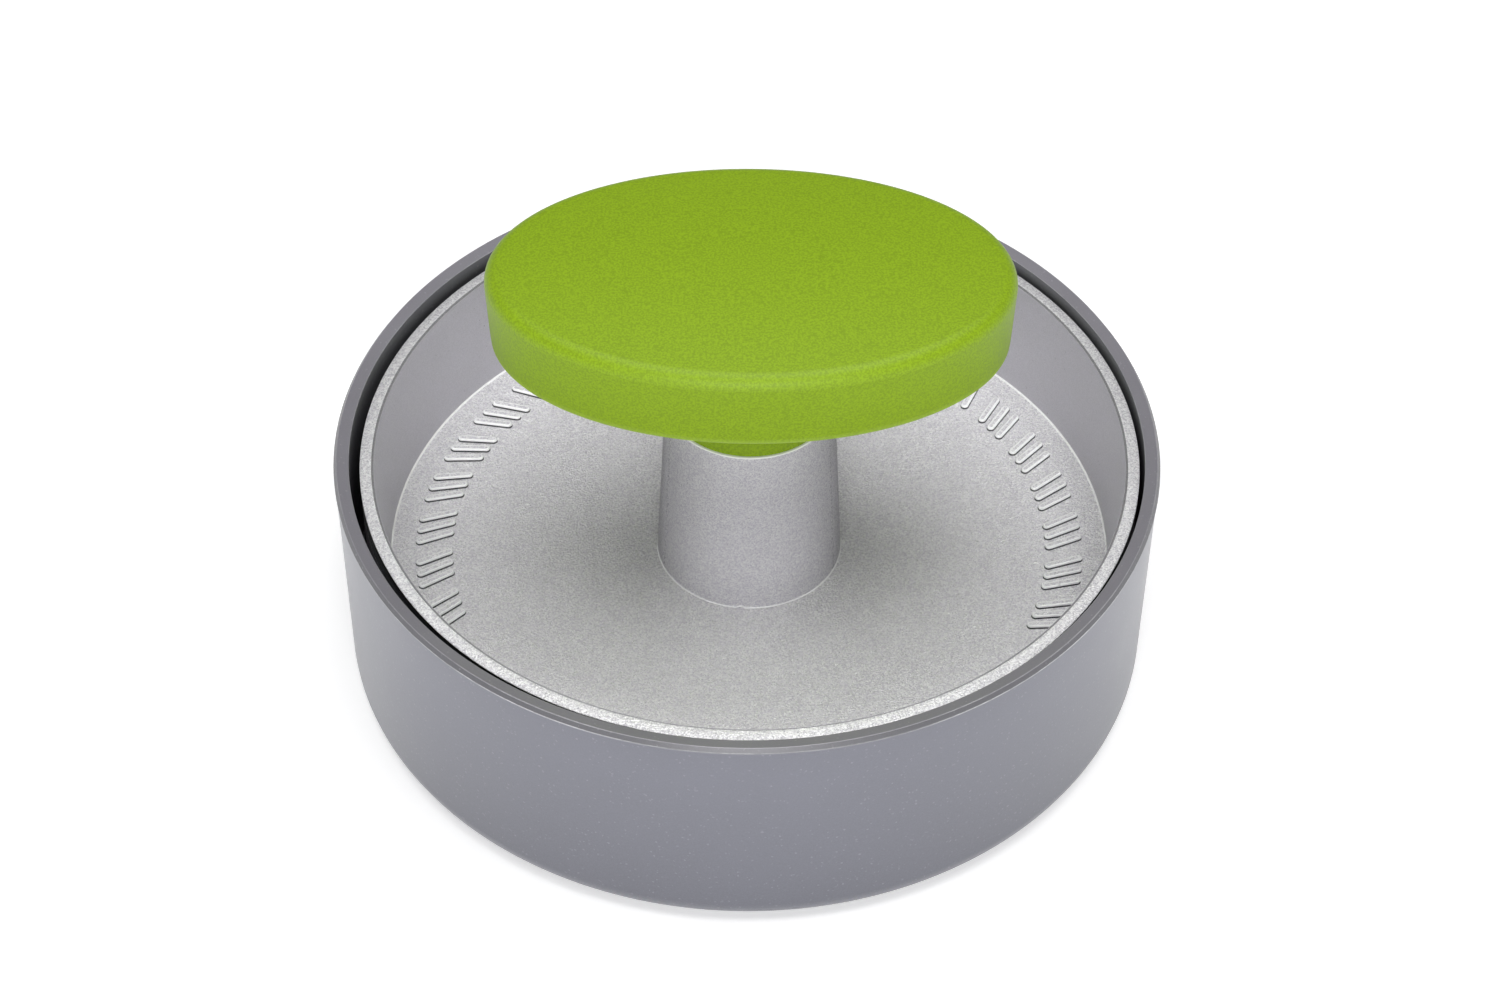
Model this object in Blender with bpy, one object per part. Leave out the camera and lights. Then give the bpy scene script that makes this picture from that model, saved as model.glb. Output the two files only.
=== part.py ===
"""Patty press: a round mould cup, a dished press plate on a hollow stem, and an oval grip.

Metres, +Z up. The origin is the centre of the mould cup's underside.
The press (everything but the cup) lifts straight up out of the cup.
"""

import math

import bmesh
import bpy

MM = 0.001

# Driving dimensions, in millimetres.
CUP_HEIGHT = 37.3
RIM_RADIUS = 60.0
RIM_LAND_RADIUS = 59.4
RIM_BEVEL = 0.8
WALL_TOP_RADIUS = 59.8
WALL_FOOT_RADIUS = 58.8
FOOT_FILLET = 4.0
FOOT_RING_RADIUS = 48.0
FOOT_RECESS = 1.0
BORE_RADIUS = 57.75
BORE_DRAFT = 0.15
LEDGE_RADIUS = 54.6
LEDGE_HEIGHT = 13.6
FLOOR_HEIGHT = 3.4
FLOOR_FILLET = 2.5
FLOOR_RINGS = (14.0, 28.0, 42.0)
RING_HALF_WIDTH = 0.9
RING_SLOPE = 0.5
RING_HEIGHT = 0.8

# The press stands a little off the cup's axis, in the clearance of its bore.
PRESS_AXIS = (0.39, -0.30)
GAP = 0.3
PLATE_RADIUS = 56.6
PLATE_DRAFT = 0.2
PLATE_RIM_HEIGHT = 36.15
PLATE_RIM_FILLET = 0.5
PLATE_EDGE_FILLET = 1.0
DISH_RIM_RADIUS = 54.9
DISH_FLOOR_RADIUS = 52.9
DISH_FLOOR_HEIGHT = 17.7
DISH_FLOOR_FILLET = 0.6
PLATE_THICKNESS = 3.0
PLATE_RINGS = (21.0, 35.0)
PLATE_LAND_RADIUS = 53.0
SPIGOT_RADIUS = 9.6
SPIGOT_HEIGHT = 3.1
SCREW_HOLE_RADIUS = 3.3
COUNTERSINK_RADIUS = 6.2

STEM_FOOT_RADIUS = 13.5
STEM_TOP_RADIUS = 12.25
STEM_TOP_HEIGHT = 46.9
STEM_BORE_FOOT = 9.9
STEM_BORE_TOP = 8.7
SEAL_POCKET_RADIUS = 11.8
SEAL_POCKET_DEPTH = 2.1
SEAL_RADIUS = 10.7
SEAL_HALF_WIDTH = 0.8

SCREW_RADIUS = 2.9
SCREW_HEAD_RADIUS = 5.8
SCREW_TOP_HEIGHT = 53.0
SOCKET_RADIUS = 2.3
SOCKET_DEPTH = 2.0

INSERT_RADIUS = 5.0
INSERT_WAIST = 4.5
INSERT_FOOT_HEIGHT = 43.3
INSERT_LENGTH = 12.0
INSERT_BORE = SCREW_RADIUS + GAP

GRIP_HALF_LENGTH = 37.5
GRIP_HALF_WIDTH = 23.1
GRIP_FOOT_HEIGHT = 59.2
GRIP_SHOULDER_HEIGHT = 69.6
GRIP_DRAFT = 0.65
GRIP_TOP_FILLET = 2.3
GRIP_EDGE_FILLET = 0.5
GRIP_CROWN = 0.8
COVER_WALL = 2.45
NECK_RADIUS = 12.05
NECK_SPIGOT_RADIUS = 8.3
NECK_SPIGOT_LENGTH = 4.2
NECK_FLARE = 4.0
BASE_THICKNESS = 2.8
GRIP_SCREW_SPACING = 48.0
BOSS_RADIUS = 3.2
PILOT_RADIUS = 1.8
PILOT_TOP_HEIGHT = 67.6
GRIP_SCREW_HEAD_RADIUS = 2.8
GRIP_SCREW_HEAD_HEIGHT = 1.3
GRIP_SCREW_RADIUS = 1.5
GRIP_SCREW_TOP_HEIGHT = 67.2
HEAD_POCKET_RADIUS = 3.1
HEAD_POCKET_DEPTH = 1.6

# Facets round each turned shape.
LARGE_STEPS = 60
OVAL_STEPS = 56
STEM_STEPS = 40
SMALL_STEPS = 24


def clear_scene():
    for old in list(bpy.data.objects):
        bpy.data.objects.remove(old, do_unlink=True)


def make_material(name, colour, roughness, metallic):
    material = bpy.data.materials.new(name)
    material.use_nodes = True
    shader = material.node_tree.nodes["Principled BSDF"]
    shader.inputs["Base Color"].default_value = (*colour, 1.0)
    shader.inputs["Roughness"].default_value = roughness
    shader.inputs["Metallic"].default_value = metallic
    return material


def arc(centre, radius, start, end, steps):
    """Points (r, z) on a circle about centre, from the start angle to the end angle in degrees."""
    points = []
    for step in range(steps + 1):
        angle = math.radians(start + (end - start) * step / steps)
        points.append((centre[0] + radius * math.cos(angle), centre[1] + radius * math.sin(angle)))
    return points


def ring_ridge(radius, base, height):
    """A ridge that rings the axis, from its outer side to its inner one; a negative height points down."""
    return [
        (radius + RING_HALF_WIDTH + RING_SLOPE, base),
        (radius + RING_HALF_WIDTH, base + height),
        (radius - RING_HALF_WIDTH, base + height),
        (radius - RING_HALF_WIDTH - RING_SLOPE, base),
    ]


def finish_object(name, bm, material):
    bmesh.ops.recalc_face_normals(bm, faces=bm.faces)
    mesh = bpy.data.meshes.new(name)
    bm.to_mesh(mesh)
    bm.free()
    mesh.shade_smooth()
    mesh.set_sharp_from_angle(angle=math.radians(30))
    mesh.materials.append(material)
    piece = bpy.data.objects.new(name, mesh)
    bpy.context.collection.objects.link(piece)
    return piece


def turned(name, profile, steps, material, closed=False):
    """Spin a profile of (r, z) points round the Z axis; a closed profile makes a ring."""
    bm = bmesh.new()
    points = [bm.verts.new((r * MM, 0.0, z * MM)) for r, z in profile]
    ends = zip(points, points[1:] + points[:1]) if closed else zip(points, points[1:])
    edges = [bm.edges.new(pair) for pair in ends]
    bmesh.ops.spin(
        bm, geom=points + edges, cent=(0, 0, 0), axis=(0, 0, 1),
        angle=2 * math.pi, steps=steps, use_merge=True,
    )
    bmesh.ops.remove_doubles(bm, verts=bm.verts, dist=1e-6)
    return finish_object(name, bm, material)


def oval_loft(name, sections, steps, material):
    """Skin a stack of (half length, half width, z) ovals and cap the first and the last."""
    bm = bmesh.new()
    loops = []
    for half_length, half_width, z in sections:
        loop = []
        for step in range(steps):
            angle = 2 * math.pi * step / steps
            x = half_length * math.cos(angle)
            y = half_width * math.sin(angle)
            loop.append(bm.verts.new((x * MM, y * MM, z * MM)))
        loops.append(loop)
    for lower, upper in zip(loops, loops[1:]):
        for step in range(steps):
            after = (step + 1) % steps
            bm.faces.new((lower[step], lower[after], upper[after], upper[step]))
    bm.faces.new(loops[0])
    bm.faces.new(loops[-1])
    return finish_object(name, bm, material)


def boolean(piece, tool, operation):
    """Join or cut a piece with a tool, which stays as a hidden guide."""
    tool.hide_render = True
    tool.display_type = "WIRE"
    tool.parent = piece
    modifier = piece.modifiers.new(operation.title(), "BOOLEAN")
    modifier.operation = operation
    modifier.solver = "EXACT"
    modifier.object = tool


def make_mould_cup(material):
    """The cup: a bore for the plate, a ledge that stops it, and a ringed floor under the patty."""
    wall_foot = (WALL_FOOT_RADIUS - FOOT_FILLET, FOOT_FILLET)
    floor_corner = (LEDGE_RADIUS - FLOOR_FILLET, FLOOR_HEIGHT + FLOOR_FILLET)
    profile = [
        (0.0, FOOT_RECESS),
        (FOOT_RING_RADIUS - FOOT_RECESS / 2, FOOT_RECESS),
        (FOOT_RING_RADIUS, 0.0),
    ]
    profile += arc(wall_foot, FOOT_FILLET, -90, 0, 5)
    profile += [
        (WALL_TOP_RADIUS, CUP_HEIGHT - 1.5 * RIM_BEVEL),
        (RIM_RADIUS, CUP_HEIGHT - RIM_BEVEL),
        (RIM_LAND_RADIUS, CUP_HEIGHT),
        (BORE_RADIUS + GAP, CUP_HEIGHT),
        (BORE_RADIUS, CUP_HEIGHT - GAP),
        (BORE_RADIUS - BORE_DRAFT, LEDGE_HEIGHT),
        (LEDGE_RADIUS + GAP, LEDGE_HEIGHT),
        (LEDGE_RADIUS, LEDGE_HEIGHT - GAP),
    ]
    profile += arc(floor_corner, FLOOR_FILLET, 0, -90, 4)
    for radius in reversed(FLOOR_RINGS):
        profile += ring_ridge(radius, FLOOR_HEIGHT, RING_HEIGHT)
    profile.append((0.0, FLOOR_HEIGHT))
    return turned("mould_cup", profile, LARGE_STEPS, material)


def make_press_plate(material):
    """The dished plate: a ringed face below, a spigot for the stem and a countersunk hole."""
    face = DISH_FLOOR_HEIGHT - PLATE_THICKNESS
    land = face - RING_HEIGHT
    foot_radius = PLATE_RADIUS - PLATE_DRAFT
    spigot_top = DISH_FLOOR_HEIGHT + SPIGOT_HEIGHT
    countersink_depth = COUNTERSINK_RADIUS - SCREW_HOLE_RADIUS
    profile = [
        (SCREW_HOLE_RADIUS, face + countersink_depth),
        (COUNTERSINK_RADIUS, face),
    ]
    for radius in PLATE_RINGS:
        profile += reversed(ring_ridge(radius, face, -RING_HEIGHT))
    profile += [(PLATE_LAND_RADIUS, face), (PLATE_LAND_RADIUS + RING_SLOPE, land)]
    profile += arc((foot_radius - PLATE_EDGE_FILLET, land + PLATE_EDGE_FILLET),
                   PLATE_EDGE_FILLET, -90, 0, 3)
    profile += arc((PLATE_RADIUS - PLATE_RIM_FILLET, PLATE_RIM_HEIGHT - PLATE_RIM_FILLET),
                   PLATE_RIM_FILLET, 0, 90, 4)
    profile += [
        (DISH_RIM_RADIUS + GAP, PLATE_RIM_HEIGHT),
        (DISH_RIM_RADIUS, PLATE_RIM_HEIGHT - GAP),
        (DISH_FLOOR_RADIUS, DISH_FLOOR_HEIGHT + DISH_FLOOR_FILLET),
        (DISH_FLOOR_RADIUS - DISH_FLOOR_FILLET, DISH_FLOOR_HEIGHT),
        (SPIGOT_RADIUS, DISH_FLOOR_HEIGHT),
        (SPIGOT_RADIUS, spigot_top - GAP),
        (SPIGOT_RADIUS - GAP, spigot_top),
        (SCREW_HOLE_RADIUS, spigot_top),
    ]
    return turned("press_plate", profile, LARGE_STEPS, material, closed=True)


def make_stem(material):
    """The hollow tapered stem, with a pocket for the seal in its foot."""
    foot = DISH_FLOOR_HEIGHT + GAP
    pocket_top = foot + SEAL_POCKET_DEPTH
    profile = [
        (SEAL_POCKET_RADIUS, foot),
        (STEM_FOOT_RADIUS - GAP, foot),
        (STEM_FOOT_RADIUS, foot + GAP),
        (STEM_TOP_RADIUS, STEM_TOP_HEIGHT - GAP),
        (STEM_TOP_RADIUS - GAP, STEM_TOP_HEIGHT),
        (STEM_BORE_TOP, STEM_TOP_HEIGHT),
        (STEM_BORE_FOOT, pocket_top + GAP),
        (STEM_BORE_FOOT, pocket_top),
        (SEAL_POCKET_RADIUS, pocket_top),
    ]
    return turned("stem", profile, STEM_STEPS, material, closed=True)


def make_stem_seal(material):
    """The round-section seal ring between the plate and the stem's pocket."""
    centre = (SEAL_RADIUS, DISH_FLOOR_HEIGHT + GAP + SEAL_HALF_WIDTH)
    profile = arc(centre, SEAL_HALF_WIDTH, 0, 360, 8)[:-1]
    return turned("stem_seal", profile, STEM_STEPS, material, closed=True)


def make_fixing_screw(material):
    """The long countersunk screw with a hexagon socket, which clamps plate, stem and grip."""
    head = DISH_FLOOR_HEIGHT - PLATE_THICKNESS + GAP / 3
    neck = head + SCREW_HEAD_RADIUS - SCREW_RADIUS
    profile = [
        (0.0, head),
        (SCREW_HEAD_RADIUS, head),
        (SCREW_RADIUS, neck),
        (SCREW_RADIUS, SCREW_TOP_HEIGHT - GAP),
        (SCREW_RADIUS - GAP, SCREW_TOP_HEIGHT),
        (0.0, SCREW_TOP_HEIGHT),
    ]
    screw = turned("fixing_screw", profile, SMALL_STEPS, material)
    socket = [
        (SOCKET_RADIUS, SOCKET_RADIUS, head - 1.0),
        (SOCKET_RADIUS, SOCKET_RADIUS, head + SOCKET_DEPTH),
    ]
    boolean(screw, oval_loft("fixing_screw_socket", socket, 6, material), "DIFFERENCE")
    return screw


def make_threaded_insert(material):
    """The waisted brass insert that takes the screw's end."""
    foot = INSERT_FOOT_HEIGHT
    top = foot + INSERT_LENGTH
    waist_low = foot + INSERT_LENGTH / 3
    waist_high = top - INSERT_LENGTH / 3
    step = INSERT_RADIUS - INSERT_WAIST
    profile = [
        (INSERT_BORE, foot),
        (INSERT_RADIUS, foot),
        (INSERT_RADIUS, waist_low),
        (INSERT_WAIST, waist_low + step),
        (INSERT_WAIST, waist_high - step),
        (INSERT_RADIUS, waist_high),
        (INSERT_RADIUS, top),
        (INSERT_BORE, top),
    ]
    return turned("threaded_insert", profile, SMALL_STEPS, material, closed=True)


def grip_foot_oval(inset):
    """Half length and half width of the grip's lower edge, drawn in by the inset."""
    return (GRIP_HALF_LENGTH - GRIP_DRAFT - inset, GRIP_HALF_WIDTH - GRIP_DRAFT - inset)


def grip_screw_places():
    """X of the two screws that hold the grip's cover to its base."""
    return {"left": -GRIP_SCREW_SPACING / 2, "right": GRIP_SCREW_SPACING / 2}


def post(name, sections, x, material):
    """A round upright of (radius, z) sections, at x along the grip."""
    piece = oval_loft(name, [(radius, radius, z) for radius, z in sections], SMALL_STEPS, material)
    piece.location.x = x * MM
    return piece


def make_grip_base(material):
    """The grip's lower part: a neck that enters the stem, flaring into an oval plate."""
    neck_foot = STEM_TOP_HEIGHT + GAP
    spigot_foot = neck_foot - NECK_SPIGOT_LENGTH
    underside = GRIP_FOOT_HEIGHT + GAP
    top = underside + BASE_THICKNESS
    insert_pocket = INSERT_RADIUS + GAP
    round_profile = [
        (insert_pocket, INSERT_FOOT_HEIGHT + INSERT_LENGTH + GAP),
        (insert_pocket, spigot_foot),
        (NECK_SPIGOT_RADIUS, spigot_foot),
        (NECK_SPIGOT_RADIUS, neck_foot),
        (NECK_RADIUS - GAP, neck_foot),
        (NECK_RADIUS, neck_foot + GAP),
    ]
    round_profile += arc((NECK_RADIUS + NECK_FLARE, underside - NECK_FLARE),
                         NECK_FLARE, 180, 90, 5)
    edge = grip_foot_oval(COVER_WALL + GAP)
    sections = [(radius, radius, z) for radius, z in round_profile]
    sections += [(*edge, underside), (*edge, top)]
    base = oval_loft("grip_base", sections, OVAL_STEPS, material)
    for side, x in grip_screw_places().items():
        hole = [
            (HEAD_POCKET_RADIUS, underside - 1.0),
            (HEAD_POCKET_RADIUS, underside + HEAD_POCKET_DEPTH),
            (PILOT_RADIUS, underside + HEAD_POCKET_DEPTH),
            (PILOT_RADIUS, top + 1.0),
        ]
        boolean(base, post("grip_base_hole_" + side, hole, x, material), "DIFFERENCE")
    return base


def make_grip_cover(material):
    """The grip's shell: crowned top, rounded shoulder, tapered side, and two screw bosses inside."""
    shoulder = GRIP_SHOULDER_HEIGHT
    rim_top = shoulder + GRIP_TOP_FILLET
    ceiling = rim_top - COVER_WALL
    inner = grip_foot_oval(COVER_WALL)
    base_top = GRIP_FOOT_HEIGHT + GAP + BASE_THICKNESS
    sections = [(*inner, ceiling), (*inner, GRIP_FOOT_HEIGHT)]
    sections.append((*grip_foot_oval(GRIP_EDGE_FILLET), GRIP_FOOT_HEIGHT))
    sections.append((*grip_foot_oval(0.0), GRIP_FOOT_HEIGHT + GRIP_EDGE_FILLET))
    for inset, z in arc((-GRIP_TOP_FILLET, shoulder), GRIP_TOP_FILLET, 0, 90, 4):
        sections.append((GRIP_HALF_LENGTH + inset, GRIP_HALF_WIDTH + inset, z))
    for share in (0.75, 0.45):
        half_length = (GRIP_HALF_LENGTH - GRIP_TOP_FILLET) * share
        half_width = (GRIP_HALF_WIDTH - GRIP_TOP_FILLET) * share
        sections.append((half_length, half_width, rim_top + GRIP_CROWN * (1 - share ** 2)))
    cover = oval_loft("grip_cover", sections, OVAL_STEPS, material)
    for side, x in grip_screw_places().items():
        boss = [(BOSS_RADIUS, base_top + GAP), (BOSS_RADIUS, ceiling + COVER_WALL / 2)]
        pilot = [(PILOT_RADIUS, base_top - 1.0), (PILOT_RADIUS, PILOT_TOP_HEIGHT)]
        boolean(cover, post("grip_cover_boss_" + side, boss, x, material), "UNION")
        boolean(cover, post("grip_cover_pilot_" + side, pilot, x, material), "DIFFERENCE")
    return cover


def make_grip_screws(material):
    """The two small screws from below that hold the cover to the base."""
    head = GRIP_FOOT_HEIGHT + 1.3 * GAP
    head_top = head + GRIP_SCREW_HEAD_HEIGHT
    sections = [
        (GRIP_SCREW_HEAD_RADIUS - GAP, head),
        (GRIP_SCREW_HEAD_RADIUS, head + GAP),
        (GRIP_SCREW_HEAD_RADIUS, head_top),
        (GRIP_SCREW_RADIUS, head_top),
        (GRIP_SCREW_RADIUS, GRIP_SCREW_TOP_HEIGHT),
    ]
    return [post("grip_screw_" + side, sections, x, material)
            for side, x in grip_screw_places().items()]


def make_press_axis(pieces):
    """An empty on the press's axis that carries everything that lifts."""
    axis = bpy.data.objects.new("press_axis", None)
    axis.location = (PRESS_AXIS[0] * MM, PRESS_AXIS[1] * MM, 0.0)
    bpy.context.collection.objects.link(axis)
    for piece in pieces:
        piece.parent = axis


def main():
    clear_scene()
    grey_coating = make_material("grey_coating", (0.29, 0.29, 0.32), 0.45, 0.35)
    silver_casting = make_material("silver_casting", (0.56, 0.56, 0.57), 0.42, 0.75)
    green_plastic = make_material("green_plastic", (0.27, 0.42, 0.03), 0.50, 0.0)
    steel = make_material("steel", (0.60, 0.60, 0.61), 0.30, 1.0)
    brass = make_material("brass", (0.78, 0.57, 0.25), 0.32, 1.0)
    silicone = make_material("silicone", (0.06, 0.06, 0.06), 0.60, 0.0)

    make_mould_cup(grey_coating)
    make_press_axis([
        make_press_plate(silver_casting),
        make_stem(silver_casting),
        make_stem_seal(silicone),
        make_fixing_screw(steel),
        make_threaded_insert(brass),
        make_grip_base(green_plastic),
        make_grip_cover(green_plastic),
        *make_grip_screws(steel),
    ])


main()
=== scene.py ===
"""Looks of the patty press: fine meshes, materials, floor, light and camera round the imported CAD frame.

Outlines are in millimetres and are worked out from the boxes of the CAD nodes that they replace.
"""

import math
from collections import namedtuple

import bmesh
import bpy
from mathutils import Matrix, Vector


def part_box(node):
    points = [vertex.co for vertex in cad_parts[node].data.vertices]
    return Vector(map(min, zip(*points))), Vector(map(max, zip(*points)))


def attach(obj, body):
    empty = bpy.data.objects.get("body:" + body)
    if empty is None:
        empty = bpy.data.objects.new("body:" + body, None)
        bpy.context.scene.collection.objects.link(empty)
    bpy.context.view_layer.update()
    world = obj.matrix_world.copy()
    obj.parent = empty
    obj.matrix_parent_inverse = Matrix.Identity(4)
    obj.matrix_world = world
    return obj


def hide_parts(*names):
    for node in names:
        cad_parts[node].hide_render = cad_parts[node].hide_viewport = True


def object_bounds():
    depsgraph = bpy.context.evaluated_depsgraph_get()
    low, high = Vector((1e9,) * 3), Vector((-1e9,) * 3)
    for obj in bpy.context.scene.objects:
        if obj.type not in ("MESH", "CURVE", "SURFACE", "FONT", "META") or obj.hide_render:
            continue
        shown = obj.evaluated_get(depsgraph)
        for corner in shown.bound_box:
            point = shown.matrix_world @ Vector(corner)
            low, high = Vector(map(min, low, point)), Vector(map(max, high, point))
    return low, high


# A millimetre in metres, and how near two radii in millimetres count as the same.
MM = 0.001
SAME_RADIUS = 0.01

# Mesh fineness: steps round each kind of piece, and the largest turn of one step of a fillet.
LARGE_STEPS = 288
STEM_STEPS = 320
SEAL_STEPS = 160
SEAL_SECTION_STEPS = 24
SMALL_STEPS = 72
KNURL_STEPS = 256
POCKET_STEPS = 48
OVAL_STEPS = 288
FILLET_TURN = math.radians(11)

# Shading: how far the rubbing and painted highlight of an edge fade, how strongly broad faces set
# the shading beside small ones, and the turns past which an edge stays sharp.
WEAR_AND_HIGHLIGHT_FADE = 0.05
EVEN_WEIGHT = 100
EVEN_THRESHOLD = 0.001
SHARP_TURN = math.radians(35)
BASE_SHARP_TURN = math.radians(40)

# Cup: distances from its rim radius and its height. Its ledge and floor are given by their heights,
# and its rings by their radii.
RIM_BEVEL_WIDTH = 0.45
RIM_BEVEL_HEIGHT = 0.75
RIM_LIP = 0.2
RIM_LIP_HEIGHT = 1.125
RIM_DIP = 0.35
FOOT_INSET = 1.3
FOOT_FILLET = 4.0
FOOT_RING_WIDTH = 12.0
FOOT_RECESS = 1.0
RIM_WIDTH = 2.25
BORE_DRAFT = 0.15
LEDGE_WIDTH = 3.2
LEDGE_HEIGHT = 13.6
CUP_FLOOR = 3.4
CUP_FLOOR_FILLET = 2.5
CUP_RINGS = (42.0, 28.0, 14.0)
RING_HALF_WIDTH = 0.9
RING_SLOPE = 0.5
RING_HEIGHT = 0.8

# Plate: distances from its outer radius, its top and its underside. Its rings, spigot and screw hole
# are given by their radii.
PLATE_DRAFT = 0.6
PLATE_RIM_WIDTH = 1.7
PLATE_RIM_FALL = 0.26
PLATE_RIM_STEPS = 6
PLATE_RIM_FILLET = 0.09
PLATE_LIP = 0.15
PLATE_UNDERCUT = 0.5
PLATE_UNDERCUT_HEIGHT = 3.0
PLATE_SIDE_LEAN = 0.1
RIM_GROOVE_WIDTH = 0.3
RIM_GROOVE_DEPTH = 0.22
RIM_GROOVE_LEDGE = 0.35
DISH_DEPTH = 18.45
DISH_DRAFT = 2.0
DISH_FLOOR_FILLET = 0.22
PLATE_RINGS = (21.0, 35.0)
PLATE_LAND_WIDTH = 4.0
PLATE_FACE_DEPTH = 0.8
SPIGOT_RADIUS = 9.6
SPIGOT_HEIGHT = 3.1
SCREW_HOLE_RADIUS = 3.3
COUNTERSINK_RADIUS = 6.2

# Raised marks on the dish floor: groups of slanted bars, like the marks of a grill.
MARK_RADIUS = 46.5
MARK_LENGTH = 5.8
MARK_WIDTH = 1.05
MARK_HEIGHT = 0.5
MARK_SLANT = math.radians(24)
MARK_GROUPS = 9
MARKS_IN_GROUP = 3
MARK_SPACING = 2.25
MARK_ARCS = ((112.0, 198.0), (-18.0, 68.0))

# Stem and its seal. The burr is the sharp edge at its foot, painted near-white as a highlight, and the
# nick is a dent in it: an angle round the stem, half its width as an angle, and how far it goes in,
# up and towards the axis.
STEM_BORE_FOOT = 9.9
STEM_BORE_TOP = 8.7
STEM_TAPER = 1.25
STEM_BURR = 0.12
STEM_BURR_EDGE = 0.144
STEM_BURR_TOP = 0.24
NICK_ANGLE = math.radians(-95)
NICK_HALF_WIDTH = 0.045
NICK_DEPTH = 0.3
NICK_HEIGHT = 0.45
NICK_REACH = 0.5
SEAL_POCKET_RADIUS = 11.8
SEAL_POCKET_DEPTH = 2.1
JOINT_GAP = 0.04

# How steep the flanks of a thread are; 2 leaves no flat crest.
THREAD_STEEPNESS = 2.6

# Long fixing screw: countersunk, with a hexagon socket. A row is the step between rings of its thread.
FIXING_SHANK = 2.9
FIXING_PLAIN_LENGTH = 12.0
FIXING_PITCH = 1.0
FIXING_THREAD_DEPTH = 0.5
FIXING_ROW = 0.125
FIXING_TIP = 0.6
HEXAGON_RADIUS = 2.3
HEXAGON_DEPTH = 2.4

# Brass insert: two knurled bands with a waist between them.
INSERT_BORE = 3.2
INSERT_WAIST = 0.5
INSERT_CHAMFER = 0.2
INSERT_SLOPE = 0.3
KNURLS = 32
KNURL_DEPTH = 0.16

# Small grip screws: pan head with a crossed slot.
GRIP_SCREW_HEAD = 1.3
GRIP_SCREW_SHANK = 1.5
GRIP_SCREW_PLAIN_LENGTH = 0.5
GRIP_SCREW_PITCH = 1.1
GRIP_SCREW_THREAD_DEPTH = 0.4
GRIP_SCREW_ROW = 0.1
GRIP_SCREW_TIP = 0.8
GRIP_SCREW_POINT = 0.5
GRIP_SCREW_THREAD_PAST_TIP = 2.0
CROSS_ARM = 1.5
CROSS_HALF_WIDTH = 0.35
CROSS_DEPTH = 1.0
CROSS_TAPER = 0.35
CROSS_MARGIN = 0.5
GRIP_SCREW_NODES = {"left": "grip_screw_left", "right": "grip_screw_right"}

# Grip: an oval cover over a base that is drawn out into the neck.
COVER_WALL = 2.45
GRIP_DRAFT = 0.65
GRIP_TOP_FILLET = 2.3
GRIP_EDGE_FILLET = 0.5
GRIP_CROWN = 1.3
GRIP_RIM_DROP = 0.64
GRIP_SHOULDER_END = math.radians(84)
GRIP_EDGE_STEPS = 6
GRIP_SHOULDER_STEPS = 14
GRIP_CROWN_STEPS = 24
# Where on the lower edge fillet the painted highlight is strongest, as a share of its turn.
GRIP_EDGE_HIGHLIGHT_PEAK = 0.6
GRIP_CEILING_FILLET = 1.0
GRIP_INNER_CHAMFER = 0.15
GRIP_SIDE_FOOT = 1.2
GRIP_SIDE_INSET = 0.585
NECK_FLARE = 4.0
NECK_SPIGOT_RADIUS = 8.3
NECK_RADIUS = 11.95
NECK_FLARE_RUN = 0.5
INSERT_POCKET = 5.3
INSERT_HEADROOM = 0.3
BASE_THICKNESS = 2.8
BASE_CHAMFER = 0.2
PARTING_GAP = 0.15
HEAD_POCKET_RADIUS = 3.1
HEAD_POCKET_DEPTH = 1.6
SHANK_HOLE_RADIUS = 1.8
CUT_MARGIN = 1.0

# Camera: angles in radians, distance and clip start in metres, sideways aim, lens and sensor in
# millimetres. It aims at a share of the height of the object.
VIEW_ELEVATION = math.radians(44.31)
VIEW_DISTANCE = 0.7
VIEW_ROLL = 0.0077
AIM_SIDEWAYS = 0.48
AIM_SHARE_OF_HEIGHT = 0.3694
LENS = 114.5
SENSOR_WIDTH = 36.0
CLIP_START = 0.01

# Studio: light of the walls and of the ceiling, and the angle over the horizon where the walls have
# faded into it. The floor's half size and its drop under the object are in metres, and the size of
# its clouding is in millimetres.
WALL_LIGHT = 0.62
WALL_TOP = math.radians(24)
CEILING_LIGHT = 0.06
FLOOR_GLOW = 0.38
FLOOR_ROUGHNESS = 0.9
FLOOR_CLOUD_SIZE = 40.0
FLOOR_COLOURS = ((0.90, 0.90, 0.90), (0.91, 0.91, 0.91))
FLOOR_HALF = 6.0
FLOOR_DROP = 0.00005

# Soft lights: azimuth from the front towards the right and elevation in degrees, distance and
# size in metres, power in watts.
Softbox = namedtuple("Softbox", "name azimuth elevation distance size power")
SOFTBOXES = (
    Softbox("front_box", 0, 27, 1.0, (0.4, 0.4), 4.6),
    Softbox("left_box", -75, 65, 1.0, (0.5, 0.5), 0.7),
    Softbox("right_box", 75, 72, 1.0, (0.5, 0.5), 1.3),
    Softbox("top_box", 0, 90, 0.8, (0.8, 0.7), 4.6),
)

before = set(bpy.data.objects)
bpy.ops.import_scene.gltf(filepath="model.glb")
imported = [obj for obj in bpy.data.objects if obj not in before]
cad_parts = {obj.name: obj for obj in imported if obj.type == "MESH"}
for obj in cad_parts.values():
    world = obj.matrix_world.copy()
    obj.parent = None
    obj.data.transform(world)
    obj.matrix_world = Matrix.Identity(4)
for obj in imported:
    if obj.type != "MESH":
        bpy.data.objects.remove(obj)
cad_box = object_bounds()

# A corner of an outline, as it is drawn: distance from the axis, height, radius of its fillet,
# material slot, and how much its edge is rubbed and lit with painted highlight. A point is a corner
# after its fillet has been cut into steps.
Corner = namedtuple("Corner", "r z fillet finish wear", defaults=(0.0, 0, 0.0))
Point = namedtuple("Point", "r z finish wear", defaults=(0, 0.0))


def box_mm(node):
    """Lowest and highest corners of a CAD node, in millimetres."""
    low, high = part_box(node)
    return low / MM, high / MM


# ---------------------------------------------------------------- meshes

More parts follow.
